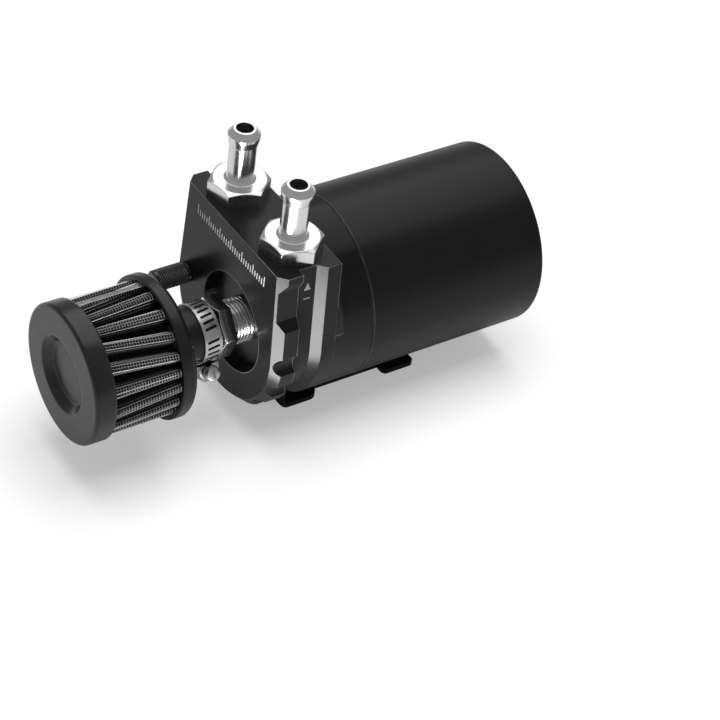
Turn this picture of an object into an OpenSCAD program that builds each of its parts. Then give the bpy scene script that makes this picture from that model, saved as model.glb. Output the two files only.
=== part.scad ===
/* [Reservoir] */
// Outer radius of the reservoir and of the round side of the head
can_r = 35; // [34:0.5:37]
// Length of the reservoir below the head
can_len = 75.7; // [66:0.1:110]
// Thickness of the reservoir wall
can_wall = 2; // [1.6:0.1:2.5]
// Thickness of the reservoir floor
can_floor = 3; // [2:0.5:5]
// Radius of the rounded bottom edge
can_edge_r = 1.2; // [0.4:0.2:2]

/* [Head] */
// Length of the head from the seam to its front face
head_len = 41.35; // [40:0.05:50]
// Length of the D-shaped block at the front of the head
block_len = 24.7; // [24:0.1:28]
// Height of the flat that carries the hose fittings above the round side
flat_rise = 3.6; // [2:0.1:7]
// Step in from the round side to each end of the flat
flat_step = 2.3; // [1:0.1:3.5]
// Chamfer round the front face
face_chamfer = 3.1; // [2:0.1:3.4]
// Depth of the groove behind the grip flange
groove_depth = 3; // [2:0.1:3.2]
// Flat width of the groove floor
groove_len = 7.1; // [6:0.1:8]
// Width of the grip flange between chamfer and groove
grip_len = 6; // [5:0.1:6.5]
// Concave radius where the block meets the round skirt
blend_r = 5; // [3:0.5:6]
// Thickness of the plate between front face and cavity
plate_t = 8; // [7.5:0.1:9]
// Length of the threaded spigot inside the reservoir
spigot_len = 12.5; // [10:0.5:16]
// Wall thickness of the spigot
spigot_wall = 3.9; // [3.5:0.1:4.1]
// Chamfer on both edges of the seam
seam_chamfer = 0.4; // [0.2:0.1:0.8]

/* [Grip] */
// Angle between two scallops round the flange
scallop_step = 22.5; // [22.5, 30, 45]
// Width of a scallop at the rim
scallop_w = 7.9; // [6:0.1:9]
// Depth of scallops and side pockets
grip_depth = 2.4; // [1.5:0.1:2.6]
// Distance from the flat to the side pocket
pocket_start = 2.7; // [2:0.1:4]
// Length of the side pocket
pocket_len = 20.4; // [14:0.1:22]
// Length of the pocket's sloped ends
pocket_slope = 4; // [2:0.5:6]

/* [Breather port] */
// Sideways place of the breather port, away from the dipstick
port_x = -5; // [-6:0.5:-4]
// Radius of the round recess in the front face
recess_r = 19; // [14:0.5:19.5]
// Depth of the recess
recess_depth = 4.5; // [2:0.5:5]
// Radius of the threaded port
port_r = 8.4; // [8:0.1:9]
// Wall round the port inside the cavity
boss_wall = 3.1; // [2.5:0.1:4]
// Length of the boss inside the cavity
boss_len = 6; // [4:0.5:8]

/* [Hose fittings] */
// Distance between the two hose fittings
fitting_pitch = 35.6; // [34:0.1:38]
// Distance of the fittings behind the front face
fitting_set = 13; // [12.5:0.1:14]
// Width across flats of the fitting hexagon
fitting_flats = 20; // [18:0.5:21]
// Height of the fitting hexagon
fitting_hex_h = 6; // [5:0.5:8]
// Turn of the hexagons about their own axes
fitting_turn = 10; // [0:5:60]
// Height of the fitting above the flat
fitting_h = 27.4; // [24:0.1:36]
// Outer radius of the hose tube
tube_r = 5; // [4.5:0.1:6]
// Height of the bead above the tube
bead_h = 0.9; // [0.4:0.1:1.2]
// Bore radius of the fitting
fitting_bore_r = 3.2; // [2.5:0.1:3.6]
// Radius of the fitting's threaded stub
stub_r = 6.5; // [6:0.1:7]
// Length of the fitting's threaded stub
stub_len = 8; // [7:0.5:9]
// Cord radius of the small O-rings under the fittings
fitting_seal_r = 0.75; // [0.6:0.05:0.9]

/* [Breather adaptor] */
// Width across flats of the adaptor hexagon
adaptor_flats = 20; // [19:0.5:22]
// Height of the adaptor hexagon
adaptor_hex_h = 5.7; // [5:0.1:8]
// Turn of the adaptor hexagon about its axis
adaptor_turn = 9; // [0:1:60]
// Length of thread that shows between recess and hexagon
adaptor_thread = 8; // [6:0.5:10]
// Outer radius of the spigot in the filter neck
adaptor_spigot_r = 9; // [8:0.1:9.2]
// Length of that spigot
adaptor_spigot_len = 14; // [10:0.5:15]
// Bore radius of the adaptor
adaptor_bore_r = 6; // [5:0.1:6.5]

/* [Breather filter] */
// Wall of the rubber neck
neck_wall = 1.6; // [1.2:0.1:2]
// Length of the rubber neck below the flare
neck_len = 13.4; // [12:0.1:18]
// Height of the flare between neck and rear ring
flare_h = 5.2; // [4:0.1:8]
// Outer radius of the rear ring
ring_r = 26.5; // [25:0.1:26.6]
// Height of the rear ring
ring_h = 6; // [5:0.5:8]
// Length of gauze that shows
gauze_len = 25.5; // [20:0.5:40]
// Radius over the ridges of the gauze
gauze_r = 24.6; // [23.5:0.1:24.8]
// Depth of the pleats
pleat_depth = 4.2; // [3:0.1:5]
// Number of pleats
pleats = 20; // [16:1:24]
// Thickness of the pleated gauze
gauze_t = 0.8; // [0.6:0.1:1]
// Depth of the gauze in the rubber at each end
pot_depth = 2; // [1:0.5:2.5]
// Outer radius of the cap
cap_r = 25.7; // [25.2:0.1:26.5]
// Height of the cap's side band
cap_h = 8; // [7:0.5:10]
// Radius of the rounded front edge of the cap
cap_edge_r = 1.4; // [0.8:0.2:2]
// Radius of the round hollow in the cap
dish_r = 14.5; // [12:0.5:16]
// Depth of that hollow
dish_depth = 3; // [1:0.5:3.5]
// Width of the slope round the hollow's flat floor
dish_slope = 3; // [1:0.5:4]

/* [Hose clamp] */
// Width of the clamp band
band_w = 7; // [6:0.5:8]
// Thickness of the clamp band
band_t = 0.6; // [0.5:0.1:0.8]
// Gap between the adaptor hexagon and the band
band_set = 0.8; // [0.5:0.1:2]
// Length of a slot across the band
slot_w = 4.8; // [4:0.1:5]
// Width of a slot along the band
slot_t = 0.8; // [0.6:0.1:1]
// Angle between two slots
slot_step = 10; // [10, 12, 15]
// Place of the screw housing round the neck
housing_turn = 115; // [100:5:130]
// Length of the screw housing
housing_len = 8.5; // [7:0.5:10]
// Radius of the worm screw
worm_r = 2.3; // [2:0.1:2.5]
// Radius of the worm screw's slotted head
worm_head_r = 2.9; // [2.6:0.1:3.2]
// Height of that head
worm_head_h = 3; // [2:0.5:4]

/* [Dipstick] */
// Radius of the knurled knob
knob_r = 4.2; // [3.5:0.1:4.4]
// Height of the knob
knob_h = 14.5; // [10:0.5:18]
// Distance from the knob to the chamfer of the face
knob_edge = 1.4; // [1:0.1:1.6]
// Radius of the stub in the head
knob_stub_r = 3.4; // [3:0.1:3.4]
// Length of the stub in the head
knob_stub_len = 6; // [5:0.5:6.5]
// Radius of the rod
rod_r = 1.5; // [1:0.1:1.6]
// Distance from the reservoir floor to the tip of the rod
rod_rise = 9; // [5:0.5:20]

/* [Baffle] */
// Thickness of the baffle plate
baffle_t = 1.5; // [1:0.1:2.5]
// Radius of the holes in the baffle plate
baffle_hole_r = 2.5; // [1.5:0.1:2.7]

/* [Bracket] */
// Thickness of the bracket plate
bracket_t = 2; // [1.5:0.1:2.4]
// Depth of the milled pad that carries the bracket below the round side
pad_step = 1; // [0.6:0.1:1.2]
// Height of the mounting plate's inner face above the round side
plate_rise = 5.5; // [4:0.1:9]
// Width of the tab on the head
tab_w = 19; // [18:0.5:20]
// Distance between the two bracket screws
screw_pitch = 9.4; // [9.2:0.1:9.8]
// Half width of the plate at its lobes
lobe_half_w = 14.5; // [13:0.5:18]
// Half width of the plate between the lobes
waist_half_w = 10; // [9:0.5:11]
// Length of the lobe beside the head
lobe_len = 17; // [14:0.5:20]
// Length of the waist
waist_len = 29; // [26:0.5:34]
// Length of the free end
end_len = 14; // [10:0.5:18]
// Radius of the mounting holes
mount_r = 2.75; // [2.2:0.05:3.3]
// Distance between mounting holes across the plate
mount_pitch_x = 10.6; // [10:0.1:13]
// Distance between mounting holes along the plate
mount_pitch_z = 21.6; // [18:0.1:26]
// Radius of the round corners of the plate
corner_r = 4; // [2:0.5:5]

/* [Hidden] */
$fn = 96;

eps = 0.01;
black_anodised = "#1b1c1e";
clear_anodised = "#c9cccf";
black_rubber = "#26272a";
steel = "#b9bcc0";

// Stations along the axis
face_z = can_len + head_len;
block_z = face_z - block_len;
groove_top_z = face_z - face_chamfer - grip_len;
groove_low_z = groove_top_z - groove_len;
rib_top_z = groove_low_z - groove_depth;
roof_z = face_z - plate_t;
recess_z = face_z - recess_depth;
boss_z = roof_z - boss_len;
spigot_z = can_len - spigot_len;
fitting_z = face_z - fitting_set;
hex_z = recess_z + adaptor_thread;
neck_z = hex_z + adaptor_hex_h + 0.4;
band_z = hex_z + adaptor_hex_h + band_set;
flare_z = neck_z + neck_len;
ring_z = flare_z + flare_h;
ring_top_z = ring_z + ring_h;
cap_z = ring_top_z + gauze_len;
cap_top_z = cap_z + cap_h;
core_low_z = ring_top_z - pot_depth;
core_top_z = cap_z + pot_depth;

// Running clearances
thread_gap = 0.1;
slip_gap = 0.05;
seat_gap = 0.02;

// The head in plan: a circle with two straight sides that run to the flat
flat_y = can_r + flat_rise;
flat_half_w = can_r - flat_step;
corner_d = norm([flat_half_w, flat_y]);
side_a = acos(can_r / corner_d) - atan2(flat_y, flat_half_w);
side_len = sqrt(corner_d * corner_d - can_r * can_r);
side_bite = 0.03;

// Radii inside the head and the reservoir
cup_r = can_r - can_wall;
spigot_r = cup_r - thread_gap;
cavity_r = spigot_r - spigot_wall;
skirt_r = can_r - slip_gap;
groove_r = can_r - groove_depth;
boss_r = port_r + boss_wall;

// O-ring of the reservoir, in an undercut above the thread
seal_cord_r = 0.8;
seal_groove_r = spigot_r - 2 * seal_cord_r;
seal_z = can_len - 2;

// Grip scallops: a round cutter that leaves the wanted width and depth
scallop_r = (scallop_w * scallop_w / 4 + grip_depth * grip_depth) / (2 * grip_depth);
scallop_set = can_r - grip_depth + scallop_r;

// Dipstick
knob_x = can_r - face_chamfer - knob_edge - knob_r;
knob_gland_r = knob_stub_r - 1;
rod_tip_z = can_floor + rod_rise;
rod_seat = 4;
rod_hole_r = rod_r + 0.7;

// Filter neck and clamp
neck_in_r = adaptor_spigot_r + slip_gap;
neck_r = neck_in_r + neck_wall;
band_r = neck_r + slip_gap;
worm_bore_r = worm_r + slip_gap;
worm_set = band_r + band_t + worm_bore_r + 0.5;
housing_h = 2 * worm_bore_r + 1.6;
core_r = gauze_r - pleat_depth - gauze_t - 0.1;
core_t = 0.8;

// Baffle
baffle_ring_step = 8.5;

// Bracket
pad_y = can_r - pad_step;
pad_half_w = tab_w / 2;
plate_y = can_r + plate_rise;
screw_z = (groove_top_z + groove_low_z) / 2 - 1.9;
tab_top_z = screw_z + 5;
tab_low_z = screw_z - 7;
screw_head_r = 4.25;
screw_head_h = 5;
screw_shank_r = 2.4;
screw_hole_r = 2.6;
screw_grip = 4.2;
bend_r = 1;
lobe_top_z = tab_low_z + bracket_t;
lobe_low_z = lobe_top_z - lobe_len;
waist_low_z = lobe_low_z - waist_len;
end_low_z = waist_low_z - end_len;
mount_low_z = waist_low_z + 1.6;

module at_port() {
    translate([port_x, 0, 0]) children();
}

module at_fitting(side) {
    translate([side * fitting_pitch / 2, -flat_y, fitting_z]) rotate([90, 0, 0]) children();
}

// A cutter of radius and height, carried round the arc of the head and past it along both straight sides
module cut_round_head() {
    rotate([0, 0, side_a]) rotate_extrude(angle = 180 - 2 * side_a) children();
    for (m = [0, 1]) {
        mirror([m, 0, 0]) rotate([0, 0, side_a]) translate([-side_bite, 2, 0]) rotate([90, 0, 0])
            linear_extrude(side_len + can_r) children();
    }
}

// Plan of the part of the block that stands out towards the flat
module block_plan(inset) {
    side = [cos(side_a), sin(side_a)];
    corner = [flat_half_w, -flat_y] + inset * [-1, 1];
    shoulder = (can_r - side_bite - inset) * side;
    polygon([[-corner[0], corner[1]], corner, shoulder, [-shoulder[0], shoulder[1]]]);
}

module head_block() {
    difference() {
        translate([0, 0, block_z]) union() {
            cylinder(r = can_r, h = block_len);
            linear_extrude(block_len) block_plan(0);
        }
        cut_round_head() polygon([[can_r + 1, rib_top_z - 1], [groove_r, groove_low_z], [groove_r, groove_top_z],
            [can_r + 1, groove_top_z]]);
        cut_round_head() polygon([[can_r + 1, face_z - face_chamfer - 1], [can_r + 1, face_z + 1],
            [can_r - face_chamfer - 1, face_z + 1]]);
    }
}

// Concave ring that fills the corner between the block and the skirt
module block_blend() {
    bite = 0.05;
    intersection() {
        rotate_extrude() difference() {
            translate([skirt_r - 1, block_z - blend_r]) square([blend_r + 0.4, blend_r + 0.5]);
            translate([skirt_r + blend_r - bite, block_z - blend_r + bite]) circle(r = blend_r);
        }
        linear_extrude(face_z) intersection() {
            block_plan(bite);
            translate([-can_r, -2 * can_r]) square([2 * can_r, 2 * can_r - 7]);
        }
    }
}

module bracket_pad() {
    intersection() {
        translate([-pad_half_w, 0, rib_top_z - eps]) cube([2 * pad_half_w, can_r, groove_top_z - rib_top_z - 1.1]);
        cylinder(r = can_r, h = face_z - 1);
    }
}

module grip_cutters() {
    for (a = [0:scallop_step:180]) {
        rotate([0, 0, a]) translate([scallop_set, 0, groove_top_z - 1]) cylinder(r = scallop_r, h = grip_len + 5);
    }
    for (m = [0, 1]) {
        mirror([m, 0, 0]) rotate([0, 0, side_a]) translate([can_r, pocket_start - side_len, groove_top_z - 1])
            linear_extrude(grip_len + 5) polygon([[1, 0], [0, 0], [-grip_depth, pocket_slope],
                [-grip_depth, pocket_len - pocket_slope], [0, pocket_len], [1, pocket_len]]);
    }
}

module port_cutters() {
    at_port() {
        translate([0, 0, recess_z]) cylinder(r = recess_r, h = recess_depth + 1);
        translate([0, 0, boss_z - 1]) cylinder(r = port_r, h = recess_z - boss_z + 2);
    }
    for (side = [-1, 1]) {
        at_fitting(side) {
            translate([0, 0, -stub_len - 1]) cylinder(r = stub_r + slip_gap, h = stub_len + 2);
            translate([0, 0, -2 * fitting_seal_r]) cylinder(r = stub_r + 2 * fitting_seal_r + 0.5, h = 3);
            translate([0, 0, 4 - flat_y / 2]) mirror([0, 0, 1]) cylinder(r = 4, h = 5);
            translate([0, 0, 4 - flat_y / 2]) cylinder(r = 4, h = flat_y / 2 - stub_len);
        }
    }
    translate([knob_x, 0, face_z - knob_stub_len - 0.5]) cylinder(r = knob_stub_r + slip_gap, h = knob_stub_len + 1);
    translate([knob_x, 0, roof_z - 1]) cylinder(r = rod_hole_r, h = plate_t);
}

module screw_cutters() {
    for (side = [-1, 1]) {
        translate([side * screw_pitch / 2, pad_y - screw_grip, screw_z]) rotate([-90, 0, 0])
            cylinder(r = screw_hole_r, h = screw_grip + 1);
    }
    for (a = [90:120:330]) {
        rotate([0, 0, a]) translate([(spigot_r + cavity_r) / 2, 0, spigot_z - 1]) cylinder(r = 1, h = 7);
    }
}

module head() {
    color(black_anodised) difference() {
        union() {
            head_block();
            block_blend();
            bracket_pad();
            translate([0, 0, can_len]) cylinder(r1 = skirt_r - seam_chamfer, r2 = skirt_r, h = seam_chamfer);
            translate([0, 0, can_len + seam_chamfer]) cylinder(r = skirt_r, h = block_z - can_len - seam_chamfer + 1);
            translate([0, 0, spigot_z]) cylinder(r = spigot_r, h = spigot_len + eps);
        }
        difference() {
            translate([0, 0, spigot_z - 1]) cylinder(r = cavity_r, h = roof_z - spigot_z + 1);
            at_port() translate([0, 0, boss_z]) cylinder(r = boss_r, h = boss_len + 1);
        }
        translate([0, 0, seal_z - seal_cord_r - 0.2]) difference() {
            cylinder(r = spigot_r + 1, h = 2 * seal_cord_r + 0.4);
            translate([0, 0, -1]) cylinder(r = seal_groove_r, h = 4 * seal_cord_r);
        }
        translate([-tab_w, pad_y, block_z - 1]) cube([2 * tab_w, can_r, groove_top_z - block_z + 1]);
        grip_cutters();
        port_cutters();
        screw_cutters();
    }
}

module reservoir() {
    color(black_anodised) rotate_extrude() difference() {
        union() {
            translate([0, can_edge_r]) square([can_r, can_len - can_edge_r - seam_chamfer]);
            square([can_r - can_edge_r, can_len - 0.1]);
            translate([can_r - can_edge_r, can_edge_r]) circle(r = can_edge_r);
            polygon([[cup_r - 1, can_len - 2], [can_r, can_len - seam_chamfer], [can_r - seam_chamfer, can_len],
                [cup_r - 1, can_len]]);
        }
        translate([0, can_floor + 2]) square([cup_r, can_len]);
        translate([0, can_floor]) square([cup_r - 2, can_len]);
        translate([cup_r - 2, can_floor + 2]) circle(r = 2);
        translate([-can_r, -1]) square([can_r, 2 * can_len]);
    }
}

module o_ring(ring_radius, cord_radius) {
    rotate_extrude() translate([ring_radius, 0]) circle(r = cord_radius, $fn = 32);
}

module reservoir_seal() {
    color(black_rubber) translate([0, 0, seal_z]) o_ring(seal_groove_r + seal_cord_r, seal_cord_r);
}

module baffle_plate() {
    color(clear_anodised) translate([0, 0, spigot_z - baffle_t]) difference() {
        cylinder(r = spigot_r - 0.4, h = baffle_t);
        for (ring = [1, 2]) {
            for (i = [0:6 * ring - 1]) {
                rotate([0, 0, i * 60 / ring]) translate([baffle_ring_step * ring, 0, -1])
                    cylinder(r = baffle_hole_r, h = baffle_t + 2);
            }
        }
        translate([0, 0, -1]) cylinder(r = baffle_hole_r, h = baffle_t + 2);
        translate([knob_x, 0, -1]) cylinder(r = rod_hole_r, h = baffle_t + 2);
        for (a = [90:120:330]) {
            rotate([0, 0, a]) translate([(spigot_r + cavity_r) / 2, 0, -1]) cylinder(r = 1.1, h = baffle_t + 2);
        }
    }
}

module baffle_screws() {
    sunk_r = 1.5;
    grip = 5.5;
    color(steel) for (a = [90:120:330]) {
        rotate([0, 0, a]) translate([(spigot_r + cavity_r) / 2 - 0.3, 0, spigot_z - baffle_t]) difference() {
            union() {
                mirror([0, 0, 1]) cylinder(r1 = sunk_r, r2 = 1, h = 1.2);
                translate([0.3, 0, -0.5]) cylinder(r = 0.95, h = baffle_t + grip);
            }
            translate([-sunk_r - 0.5, -0.2, -2.2]) cube([2 * sunk_r + 1, 0.4, 1.5]);
        }
    }
}

module dipstick_knob() {
    color(black_anodised) translate([knob_x, 0, face_z]) difference() {
        union() {
            cylinder(r1 = knob_r - 0.4, r2 = knob_r, h = 0.4);
            translate([0, 0, 0.4]) cylinder(r = knob_r, h = knob_h - 1);
            translate([0, 0, knob_h - 0.6]) cylinder(r1 = knob_r, r2 = knob_r - 0.6, h = 0.6);
            translate([0, 0, -knob_stub_len]) cylinder(r = knob_stub_r, h = knob_stub_len + eps);
        }
        translate([0, 0, -2.6]) difference() {
            cylinder(r = knob_stub_r + 1, h = 1.2);
            translate([0, 0, -1]) cylinder(r = knob_gland_r, h = 4);
        }
        translate([0, 0, -knob_stub_len - 1]) cylinder(r = rod_r + seat_gap, h = rod_seat + 1);
    }
}

module dipstick_seal() {
    color(black_rubber) translate([knob_x, 0, face_z - 2]) o_ring(knob_gland_r + 0.5, 0.5);
}

module dipstick_rod() {
    rod_top_z = face_z - knob_stub_len + rod_seat;
    color(steel) translate([knob_x, 0, 0]) difference() {
        union() {
            translate([0, 0, rod_tip_z + 1]) cylinder(r = rod_r, h = rod_top_z - rod_tip_z - 1);
            translate([0, 0, rod_tip_z]) cylinder(r1 = rod_r - 0.6, r2 = rod_r, h = 1 + eps);
        }
        for (level = [0.25, 0.6]) {
            translate([0, 0, can_len * level]) difference() {
                cylinder(r = rod_r + 1, h = 0.8);
                translate([0, 0, -1]) cylinder(r = rod_r - 0.35, h = 3);
            }
        }
    }
}

// Hexagon with a turned chamfer on its upper corners
module turned_hex(flats, height, turn) {
    corner = flats / sqrt(3);
    rotate([0, 0, turn]) intersection() {
        cylinder(r = corner, h = height, $fn = 6);
        rotate_extrude() polygon([[0, -1], [corner + 1, -1], [corner + 1, height - 1.2 - 0.58],
            [flats / 2 - 0.4, height], [0, height]]);
    }
}

module hose_fitting() {
    tip = fitting_h;
    difference() {
        union() {
            turned_hex(fitting_flats, fitting_hex_h, fitting_turn);
            translate([0, 0, -stub_len]) cylinder(r = stub_r, h = stub_len + eps);
            rotate_extrude() polygon([[0, fitting_hex_h - 1], [tube_r + 0.8, fitting_hex_h - 1],
                [tube_r + 0.8, fitting_hex_h], [tube_r, fitting_hex_h + 0.8], [tube_r, tip - 6.6],
                [tube_r + 0.35, tip - 6.1], [tube_r + bead_h, tip - 3.2], [tube_r + bead_h, tip - 2.2],
                [tube_r - 0.7, tip - 0.3], [tube_r - 1, tip], [0, tip]]);
        }
        translate([0, 0, -stub_len - 1]) cylinder(r = fitting_bore_r, h = tip + stub_len + 2);
    }
}

module inlet_fitting() {
    color(clear_anodised) at_fitting(-1) hose_fitting();
}

module outlet_fitting() {
    color(clear_anodised) at_fitting(1) hose_fitting();
}

module fitting_seal(side) {
    color(black_rubber) at_fitting(side) translate([0, 0, -fitting_seal_r])
        o_ring(stub_r + fitting_seal_r + seat_gap, fitting_seal_r);
}

module inlet_seal() {
    fitting_seal(-1);
}

module outlet_seal() {
    fitting_seal(1);
}

module breather_adaptor() {
    color(clear_anodised) at_port() difference() {
        union() {
            translate([0, 0, boss_z + 1]) cylinder(r = port_r - slip_gap, h = hex_z - boss_z - 1 + eps);
            translate([0, 0, hex_z]) turned_hex(adaptor_flats, adaptor_hex_h, adaptor_turn);
            translate([0, 0, hex_z]) cylinder(r = adaptor_spigot_r, h = adaptor_hex_h + adaptor_spigot_len);
        }
        translate([0, 0, boss_z]) cylinder(r = adaptor_bore_r, h = hex_z + adaptor_hex_h + adaptor_spigot_len);
    }
}

module filter_base() {
    seat_r = gauze_r + seat_gap;
    color(black_rubber) at_port() rotate_extrude() difference() {
        union() {
            translate([0, neck_z]) square([neck_r, flare_z - neck_z + 1]);
            polygon([[0, flare_z], [neck_r, flare_z], [neck_r + 1.6, flare_z + 1.2], [ring_r - 2.5, ring_z],
                [0, ring_z + 1]]);
            translate([0, ring_z]) square([ring_r - 2.5, ring_h]);
            translate([0, ring_z + 2]) square([ring_r, ring_h - 2.8]);
            translate([ring_r - 2.5, ring_z + 2.5]) circle(r = 2.5);
            translate([ring_r - 0.8, ring_top_z - 0.8]) circle(r = 0.8);
            translate([0, ring_top_z - 1]) square([ring_r - 0.8, 1]);
        }
        translate([0, neck_z - 1]) square([neck_in_r, adaptor_spigot_len + 1]);
        translate([0, neck_z - 1]) square([neck_in_r - 1, 60]);
        translate([0, core_low_z]) square([seat_r, 60]);
        translate([-60, neck_z - 5]) square([60, 100]);
    }
}

module filter_core() {
    columns = 12;
    rows = 3;
    core_h = core_top_z - core_low_z;
    color(steel) at_port() translate([0, 0, core_low_z]) difference() {
        cylinder(r = core_r, h = core_h);
        translate([0, 0, -1]) cylinder(r = core_r - core_t, h = core_h + 2);
        for (i = [0:columns - 1]) {
            for (row = [1:rows]) {
                rotate([0, 0, i * 360 / columns]) translate([core_r - 2, 0, core_h * row / (rows + 1)])
                    rotate([0, 90, 0]) cylinder(r = 2.4, h = 4);
            }
        }
    }
}

// One closed zigzag outline with flat ridges, drawn at a given inset
function pleat_points(inset) = [
    for (i = [0:pleats - 1]) for (corner = [0:3])
        let (step = 360 / pleats, a = i * step + [-0.17, 0.17, 0.36, 0.64][corner] * step,
            r = (corner < 2 ? gauze_r : gauze_r - pleat_depth) - inset)
        r * [cos(a), sin(a)]
];

module filter_gauze() {
    color("#4a4c50") at_port() translate([0, 0, core_low_z]) linear_extrude(core_top_z - core_low_z) difference() {
        polygon(pleat_points(0));
        polygon(pleat_points(gauze_t));
    }
}

module filter_cap() {
    color(black_rubber) at_port() rotate_extrude() difference() {
        union() {
            translate([0, cap_z + 0.6]) square([cap_r, cap_h - 0.6 - cap_edge_r]);
            translate([0, cap_z]) square([cap_r - 0.6, cap_h]);
            translate([0, cap_z]) square([cap_r - cap_edge_r, cap_h]);
            translate([cap_r - 0.6, cap_z + 0.6]) circle(r = 0.6);
            translate([cap_r - cap_edge_r, cap_top_z - cap_edge_r]) circle(r = cap_edge_r);
        }
        difference() {
            translate([cap_r - cap_edge_r, cap_top_z - cap_edge_r]) square(2 * cap_edge_r);
            translate([cap_r - cap_edge_r, cap_top_z - cap_edge_r]) circle(r = cap_edge_r);
        }
        polygon([[0, cap_top_z - dish_depth], [dish_r - dish_slope, cap_top_z - dish_depth],
            [dish_r + dish_slope, cap_top_z + dish_depth], [0, cap_top_z + dish_depth]]);
        translate([0, cap_z - 1]) square([gauze_r + seat_gap, pot_depth + 1]);
        translate([-60, cap_z - 5]) square([60, 100]);
    }
}

module clamp_band() {
    color(steel) at_port() translate([0, 0, band_z]) difference() {
        cylinder(r = band_r + band_t, h = band_w);
        translate([0, 0, -1]) cylinder(r = band_r, h = band_w + 2);
        for (a = [175:slot_step:425]) {
            if (abs(a - 215) > slot_step / 2) {
                rotate([0, 0, a]) translate([band_r - 1, -slot_t / 2, (band_w - slot_w) / 2]) rotate([8, 0, 0])
                    cube([3, slot_t, slot_w]);
            }
        }
    }
}

// Frame of the worm screw: its own Z runs along the screw towards the slotted head
module at_worm() {
    at_port() translate([0, 0, band_z + band_w / 2]) rotate([0, 0, housing_turn]) translate([worm_set, 0, 0])
        rotate([-90, 0, 0]) children();
}

module clamp_housing() {
    width = band_w + 1;
    color(steel) at_worm() difference() {
        translate([-worm_set, -width / 2, -housing_len / 2]) intersection() {
            translate([band_r + band_t + seat_gap, 0, 0])
                cube([worm_set + worm_bore_r + 0.8 - band_r - band_t, width, housing_len]);
            union() {
                cube([worm_set, width, housing_len]);
                translate([worm_set, width / 2, 0]) cylinder(r = width / 2, h = housing_len);
            }
        }
        translate([0, 0, -housing_len]) cylinder(r = worm_bore_r, h = 2 * housing_len);
        translate([-worm_set, 0, 0]) rotate([90, 0, 0]) translate([0, 0, -width])
            cylinder(r = band_r + band_t + seat_gap, h = 2 * width);
    }
}

module clamp_screw() {
    color(steel) at_worm() difference() {
        union() {
            translate([0, 0, -housing_len / 2 - 1.5]) cylinder(r = worm_r, h = housing_len + 2);
            translate([0, 0, housing_len / 2 + 0.4]) cylinder(r = worm_head_r, h = worm_head_h);
        }
        translate([-worm_head_r - 1, -0.4, housing_len / 2 + 0.4 + worm_head_h - 1.2])
            cube([2 * worm_head_r + 2, 0.8, 2]);
    }
}

module rounded_rect(width, low, high, radius) {
    translate([-width / 2 + radius, low]) square([width - 2 * radius, high - low]);
    translate([-width / 2, low + radius]) square([width, high - low - 2 * radius]);
    for (x = [-1, 1]) {
        for (y = [low + radius, high - radius]) {
            translate([x * (width / 2 - radius), y]) circle(r = radius);
        }
    }
}

// Side view of the bent plate: tab on the pad, step outwards, mounting plate
module bracket_bends() {
    outer_r = bend_r + bracket_t;
    web_y = plate_y - bend_r;
    difference() {
        union() {
            translate([pad_y, tab_low_z]) square([bracket_t, tab_top_z - tab_low_z]);
            translate([pad_y, tab_low_z]) square([web_y - pad_y, bracket_t]);
            intersection() {
                translate([web_y, lobe_top_z - outer_r]) circle(r = outer_r);
                translate([web_y - eps, lobe_top_z - outer_r - eps]) square(outer_r + 1);
            }
            translate([plate_y, end_low_z]) square([bracket_t, lobe_top_z - outer_r - end_low_z]);
            translate([pad_y + bracket_t - eps, lobe_top_z - eps]) square(bend_r);
        }
        translate([web_y, lobe_top_z - outer_r]) circle(r = bend_r);
        translate([pad_y + bracket_t + bend_r, lobe_top_z + bend_r]) circle(r = bend_r);
    }
}

// Front view of the plate
module bracket_outline() {
    rounded_rect(tab_w, tab_low_z - 2, tab_top_z, 2);
    rounded_rect(2 * lobe_half_w, lobe_low_z, tab_low_z + bracket_t + eps, corner_r);
    translate([-waist_half_w, waist_low_z - 1]) square([2 * waist_half_w, waist_len + 2]);
    rounded_rect(2 * lobe_half_w, end_low_z, waist_low_z, corner_r / 2);
}

module bracket() {
    color(black_anodised) difference() {
        intersection() {
            translate([-2 * lobe_half_w, 0, 0]) rotate([90, 0, 90]) linear_extrude(4 * lobe_half_w) bracket_bends();
            translate([0, plate_y + 10, 0]) rotate([90, 0, 0]) linear_extrude(30) bracket_outline();
        }
        for (side = [-1, 1]) {
            translate([side * screw_pitch / 2, pad_y - 1, screw_z]) rotate([-90, 0, 0])
                cylinder(r = screw_hole_r, h = bracket_t + 2);
            for (row = [0, 1]) {
                translate([side * mount_pitch_x / 2, plate_y - 1, mount_low_z + row * mount_pitch_z])
                    rotate([-90, 0, 0]) cylinder(r = mount_r, h = bracket_t + 2);
            }
        }
    }
}

module bracket_screws() {
    color(steel) for (side = [-1, 1]) {
        translate([side * screw_pitch / 2, pad_y + bracket_t, screw_z]) rotate([-90, 0, 0]) difference() {
            union() {
                cylinder(r = screw_head_r, h = screw_head_h - 0.5);
                translate([0, 0, screw_head_h - 0.5]) cylinder(r1 = screw_head_r, r2 = screw_head_r - 0.5, h = 0.5);
                translate([0, 0, -bracket_t - screw_grip + 0.2]) cylinder(r = screw_shank_r, h = bracket_t + screw_grip);
            }
            translate([0, 0, screw_head_h - 2.5]) cylinder(r = 2 / cos(30), h = 3, $fn = 6);
        }
    }
}

head();
reservoir();
reservoir_seal();
baffle_plate();
baffle_screws();
dipstick_knob();
dipstick_rod();
dipstick_seal();
inlet_fitting();
outlet_fitting();
inlet_seal();
outlet_seal();
breather_adaptor();
filter_base();
filter_core();
filter_gauze();
filter_cap();
clamp_band();
clamp_housing();
clamp_screw();
bracket();
bracket_screws();
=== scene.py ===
import math

import bpy
from mathutils import Matrix, Vector


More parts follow.
